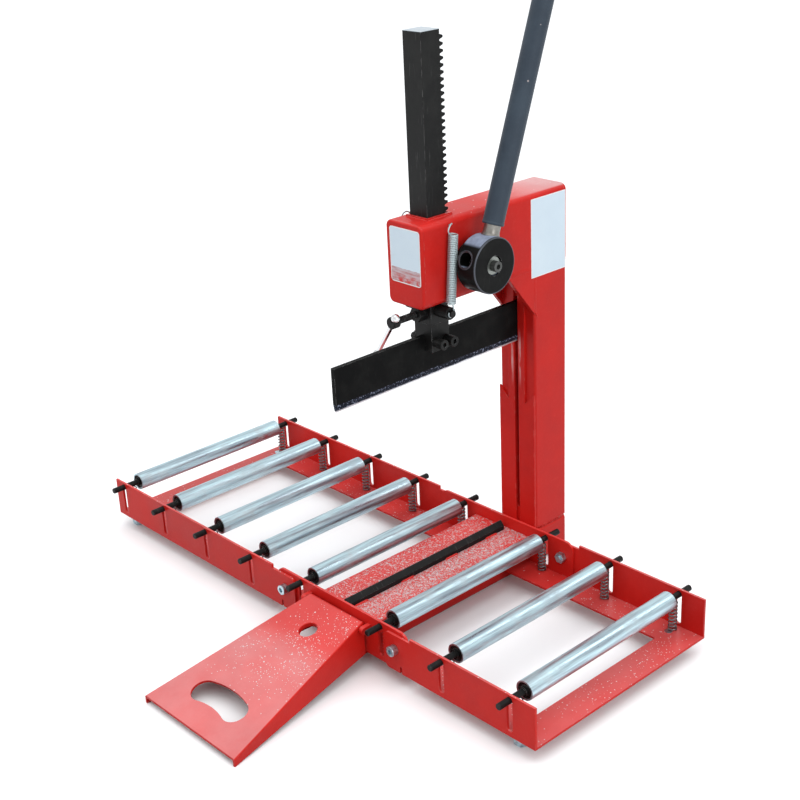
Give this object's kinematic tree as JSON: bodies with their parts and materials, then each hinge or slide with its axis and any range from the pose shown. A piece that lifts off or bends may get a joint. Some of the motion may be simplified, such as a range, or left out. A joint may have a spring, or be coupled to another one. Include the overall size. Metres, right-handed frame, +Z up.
{
  "type": "manual brick cutter",
  "caption": "Manual brick and block cutter: box-section C-frame, lever-driven toothed rack with a blade, folding tables with sprung rollers, and a hinged step plate.",
  "frame": {"origin": "on the floor under the blade plane, halfway between the front and rear tray rails, on the underside of the lower arm", "axes": "+X along the roller tables to the lever's side, +Y from the step plate to the column, +Z up"},
  "size_m": [0.816, 0.6618, 1.0457],
  "materials": {
    "red_paint": "gloss",
    "black_steel": "black oxide",
    "zinc": "zinc plated",
    "spring_steel": "bright",
    "bright_chrome": "polished",
    "grip_foam": "matt foam"
  },
  "bodies": {
    "frame": {"lower_arm": "red_paint", "arm_end_cap": "red_paint", "column": "red_paint", "head_beam": "red_paint", "head_front_cap": "red_paint", "head_rear_cap": "red_paint", "rack_sleeve": "red_paint", "gusset_plates": "red_paint", "blade_guides": "red_paint", "tray_front_rail": "red_paint", "tray_rear_rail": "red_paint", "bed_plate": "red_paint", "lower_blade": "black_steel", "shaft_bushes": "black_steel", "return_springs": "spring_steel", "hinge_bolts": "zinc", "hinge_nuts": "zinc", "centre_springs": "spring_steel", "step_lugs": "red_paint", "step_hinge_pin": "red_paint"},
    "rack": {"rack_bar": "black_steel", "clamp_boss": "black_steel", "spring_posts": "black_steel", "blade_fork": "black_steel", "upper_blade": "black_steel", "blade_bolts": "black_steel", "blade_nuts": "black_steel"},
    "clamp": {"clamp_screw": "black_steel"},
    "tommy": {"tommy_bar": "bright_chrome"},
    "lever": {"drive_shaft": "black_steel", "drive_pinion": "black_steel", "lever_hub": "black_steel", "hub_washer": "zinc", "hub_screw": "black_steel", "retaining_ring": "black_steel", "lever_rod": "zinc", "foam_grip": "grip_foam"},
    "left_side": {"left_table": "red_paint", "left_feet": "zinc", "left_springs": "spring_steel"},
    "right_side": {"right_table": "red_paint", "right_feet": "zinc", "right_springs": "spring_steel"},
    "step": {"step_plate": "red_paint"},
    "axle_body_1": {"axle_1": "black_steel"},
    "roller_body_1": {"roller_1": "zinc"},
    "axle_body_2": {"axle_2": "black_steel"},
    "roller_body_2": {"roller_2": "zinc"},
    "axle_body_3": {"axle_3": "black_steel"},
    "roller_body_3": {"roller_3": "zinc"},
    "axle_body_4": {"axle_4": "black_steel"},
    "roller_body_4": {"roller_4": "zinc"},
    "axle_body_5": {"axle_5": "black_steel"},
    "roller_body_5": {"roller_5": "zinc"},
    "axle_body_6": {"axle_6": "black_steel"},
    "roller_body_6": {"roller_6": "zinc"},
    "axle_body_7": {"axle_7": "black_steel"},
    "roller_body_7": {"roller_7": "zinc"},
    "axle_body_8": {"axle_8": "black_steel"},
    "roller_body_8": {"roller_8": "zinc"}
  },
  "joints": [
    {"name": "rack_slide", "type": "slide", "parent": "frame", "child": "rack", "axis": [0, 0, 1], "range_m": [-0.04, 0], "stiffness_N_per_m": 2600, "springref_m": 0.06, "deforming": ["return_springs"]},
    {"name": "lever_turn", "type": "hinge", "parent": "frame", "child": "lever", "pos_m": [0.056, 0.0597, 0.46], "axis": [1, 0, 0], "range_deg": [0, 132.5]},
    {"name": "clamp_turn", "type": "hinge", "parent": "rack", "child": "clamp", "pos_m": [0, -0.037, 0.4], "axis": [0, 1, 0], "range_deg": [0, 270]},
    {"name": "tommy_slide", "type": "slide", "parent": "clamp", "child": "tommy", "axis": [0.5592, 0, 0.829], "range_m": [0, 0.044]},
    {"name": "left_fold", "type": "hinge", "parent": "frame", "child": "left_side", "pos_m": [-0.102, 0, 0.05], "axis": [0, 1, 0], "range_deg": [0, 90]},
    {"name": "right_fold", "type": "hinge", "parent": "frame", "child": "right_side", "pos_m": [0.102, 0, 0.05], "axis": [0, -1, 0], "range_deg": [0, 90]},
    {"name": "step_fold", "type": "hinge", "parent": "frame", "child": "step", "pos_m": [0, -0.1577, 0.0583], "axis": [-1, 0, 0], "range_deg": [0, 95]},
    {"name": "axle_1_slide", "type": "slide", "parent": "left_side", "child": "axle_body_1", "axis": [0, 0, 1], "range_m": [-0.024, 0], "stiffness_N_per_m": 3000, "springref_m": 0.027, "deforming": ["left_springs"]},
    {"name": "roller_1_spin", "type": "hinge", "parent": "axle_body_1", "child": "roller_body_1", "pos_m": [-0.474, 0, 0.0675], "axis": [0, 1, 0], "continuous": true},
    {"name": "axle_2_slide", "type": "slide", "parent": "left_side", "child": "axle_body_2", "axis": [0, 0, 1], "range_m": [-0.024, 0], "stiffness_N_per_m": 3000, "springref_m": 0.027, "deforming": ["left_springs"]},
    {"name": "roller_2_spin", "type": "hinge", "parent": "axle_body_2", "child": "roller_body_2", "pos_m": [-0.374, 0, 0.0675], "axis": [0, 1, 0], "continuous": true},
    {"name": "axle_3_slide", "type": "slide", "parent": "left_side", "child": "axle_body_3", "axis": [0, 0, 1], "range_m": [-0.024, 0], "stiffness_N_per_m": 3000, "springref_m": 0.027, "deforming": ["left_springs"]},
    {"name": "roller_3_spin", "type": "hinge", "parent": "axle_body_3", "child": "roller_body_3", "pos_m": [-0.274, 0, 0.0675], "axis": [0, 1, 0], "continuous": true},
    {"name": "axle_4_slide", "type": "slide", "parent": "left_side", "child": "axle_body_4", "axis": [0, 0, 1], "range_m": [-0.024, 0], "stiffness_N_per_m": 3000, "springref_m": 0.027, "deforming": ["left_springs"]},
    {"name": "roller_4_spin", "type": "hinge", "parent": "axle_body_4", "child": "roller_body_4", "pos_m": [-0.174, 0, 0.0675], "axis": [0, 1, 0], "continuous": true},
    {"name": "axle_5_slide", "type": "slide", "parent": "frame", "child": "axle_body_5", "axis": [0, 0, 1], "range_m": [-0.024, 0], "stiffness_N_per_m": 3000, "springref_m": 0.027, "deforming": ["centre_springs"]},
    {"name": "roller_5_spin", "type": "hinge", "parent": "axle_body_5", "child": "roller_body_5", "pos_m": [-0.074, 0, 0.0675], "axis": [0, 1, 0], "continuous": true},
    {"name": "axle_6_slide", "type": "slide", "parent": "frame", "child": "axle_body_6", "axis": [0, 0, 1], "range_m": [-0.024, 0], "stiffness_N_per_m": 3000, "springref_m": 0.027, "deforming": ["centre_springs"]},
    {"name": "roller_6_spin", "type": "hinge", "parent": "axle_body_6", "child": "roller_body_6", "pos_m": [0.074, 0, 0.0675], "axis": [0, 1, 0], "continuous": true},
    {"name": "axle_7_slide", "type": "slide", "parent": "right_side", "child": "axle_body_7", "axis": [0, 0, 1], "range_m": [-0.024, 0], "stiffness_N_per_m": 3000, "springref_m": 0.027, "deforming": ["right_springs"]},
    {"name": "roller_7_spin", "type": "hinge", "parent": "axle_body_7", "child": "roller_body_7", "pos_m": [0.1795, 0, 0.0675], "axis": [0, 1, 0], "continuous": true},
    {"name": "axle_8_slide", "type": "slide", "parent": "right_side", "child": "axle_body_8", "axis": [0, 0, 1], "range_m": [-0.024, 0], "stiffness_N_per_m": 3000, "springref_m": 0.027, "deforming": ["right_springs"]},
    {"name": "roller_8_spin", "type": "hinge", "parent": "axle_body_8", "child": "roller_body_8", "pos_m": [0.285, 0, 0.0675], "axis": [0, 1, 0], "continuous": true}
  ],
  "couplings": [
    {"joint": "lever_turn", "follows": "rack_slide", "rad_per_m": -57.143}
  ]
}
